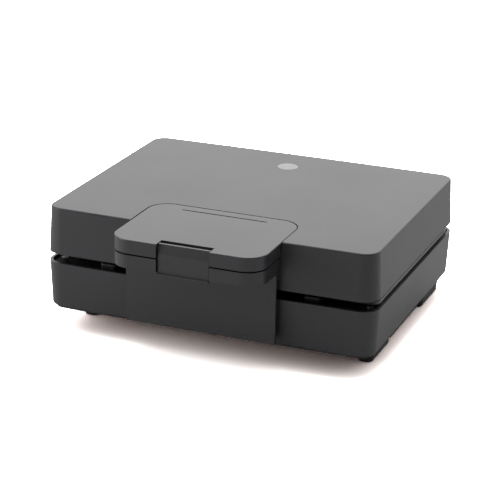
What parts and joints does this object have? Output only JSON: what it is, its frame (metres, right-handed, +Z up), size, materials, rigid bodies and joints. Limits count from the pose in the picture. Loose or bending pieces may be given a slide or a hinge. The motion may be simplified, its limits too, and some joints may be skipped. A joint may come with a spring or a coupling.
{
  "type": "waffle maker",
  "caption": "Low clamshell waffle maker with a flush front handle, spring latch, rear hinges and removable waffle plates.",
  "frame": {"origin": "middle of the whole object's footprint, on the plane that the feet stand on", "axes": "+X to the user's right, +Y from the handle towards the hinges, +Z up"},
  "size_m": [0.2736, 0.2732, 0.1033],
  "materials": {
    "housing_plastic": "fine satin-matte moulded grey plastic",
    "handle_plastic": "fine satin-matte moulded grey plastic",
    "latch_plastic": "satin moulded grey plastic",
    "deck_plastic": "matte heat-resistant plastic",
    "underside_plastic": "matte black plastic",
    "foot_rubber": "matte black rubber",
    "nonstick_plate": "dark non-stick coating on die-cast metal",
    "element_sheath": "oxidised steel sheath",
    "reflector_sheet": "plain bright sheet",
    "clip_plastic": "smooth black plastic",
    "lens": "frosted pale lens",
    "lamp_glass": "clear lamp glass",
    "terminal_plastic": "white ceramic",
    "lead_sleeve": "woven glass sleeve",
    "thermostat_body": "brown ceramic and metal cap",
    "fuse_metal": "plated",
    "hinge_metal": "dark painted die-cast metal",
    "saddle_steel": "pressed steel",
    "spring_steel": "drawn spring wire and strip",
    "screw_steel": "zinc plated steel"
  },
  "bodies": {
    "base": {"apron_screws": "screw_steel", "base_deck": "deck_plastic", "base_deck_screws": "screw_steel", "base_housing": "housing_plastic", "base_leads": "lead_sleeve", "bottom_cover": "underside_plastic", "cord_gland": "foot_rubber", "cover_screws": "screw_steel", "front_foot_left": "foot_rubber", "front_foot_right": "foot_rubber", "handle_lower": "handle_plastic", "handle_lower_covers": "handle_plastic", "hinge_base_leaf_left": "hinge_metal", "hinge_base_leaf_right": "hinge_metal", "hinge_base_screws": "screw_steel", "hinge_pin_left": "screw_steel", "hinge_pin_right": "screw_steel", "latch_catch": "spring_steel", "lower_clip_spring_left": "spring_steel", "lower_clip_spring_right": "spring_steel", "lower_element_saddles": "saddle_steel", "lower_heating_element": "element_sheath", "lower_reflector": "reflector_sheet", "lower_reflector_screws": "screw_steel", "lower_waffle_plate": "nonstick_plate", "rear_foot_left": "foot_rubber", "rear_foot_right": "foot_rubber", "terminal_block": "terminal_plastic", "thermal_fuse": "fuse_metal", "thermostat": "thermostat_body"},
    "lid": {"handle_screws": "screw_steel", "handle_upper": "handle_plastic", "handle_upper_covers": "handle_plastic", "hinge_lid_leaf_left": "hinge_metal", "hinge_lid_leaf_right": "hinge_metal", "hinge_lid_screws": "screw_steel", "indicator_lamp": "lamp_glass", "indicator_lens": "lens", "latch_pin": "screw_steel", "latch_spring": "spring_steel", "lid_deck": "deck_plastic", "lid_deck_screws": "screw_steel", "lid_housing": "housing_plastic", "upper_clip_spring_left": "spring_steel", "upper_clip_spring_right": "spring_steel", "upper_element_saddles": "saddle_steel", "upper_heating_element": "element_sheath", "upper_reflector": "reflector_sheet", "upper_reflector_screws": "screw_steel", "upper_waffle_plate": "nonstick_plate"},
    "latch": {"latch": "latch_plastic"},
    "lower_clip_left": {"lower_release_clip_left": "clip_plastic"},
    "lower_clip_right": {"lower_release_clip_right": "clip_plastic"},
    "upper_clip_left": {"upper_release_clip_left": "clip_plastic"},
    "upper_clip_right": {"upper_release_clip_right": "clip_plastic"}
  },
  "joints": [
    {"name": "lid_hinge", "type": "hinge", "parent": "base", "child": "lid", "pos_m": [0, 0.1306, 0.062], "axis": [-1, 0, 0], "range_deg": [0, 105], "deforming": ["latch_catch"]},
    {"name": "latch_pivot", "type": "hinge", "parent": "lid", "child": "latch", "pos_m": [0, -0.1292, 0.0978], "axis": [-1, 0, 0], "range_deg": [0, 28], "stiffness_Nm_per_rad": 0.12, "springref_deg": -14.32},
    {"name": "lower_clip_left_slide", "type": "slide", "parent": "base", "child": "lower_clip_left", "axis": [0, -1, 0], "range_m": [0, 0.004], "stiffness_N_per_m": 1200, "springref_m": -0.002, "deforming": ["lower_clip_spring_left"]},
    {"name": "lower_clip_right_slide", "type": "slide", "parent": "base", "child": "lower_clip_right", "axis": [0, -1, 0], "range_m": [0, 0.004], "stiffness_N_per_m": 1200, "springref_m": -0.002, "deforming": ["lower_clip_spring_right"]},
    {"name": "upper_clip_left_slide", "type": "slide", "parent": "lid", "child": "upper_clip_left", "axis": [0, -1, 0], "range_m": [0, 0.004], "stiffness_N_per_m": 1200, "springref_m": -0.002, "deforming": ["upper_clip_spring_left"]},
    {"name": "upper_clip_right_slide", "type": "slide", "parent": "lid", "child": "upper_clip_right", "axis": [0, -1, 0], "range_m": [0, 0.004], "stiffness_N_per_m": 1200, "springref_m": -0.002, "deforming": ["upper_clip_spring_right"]}
  ]
}
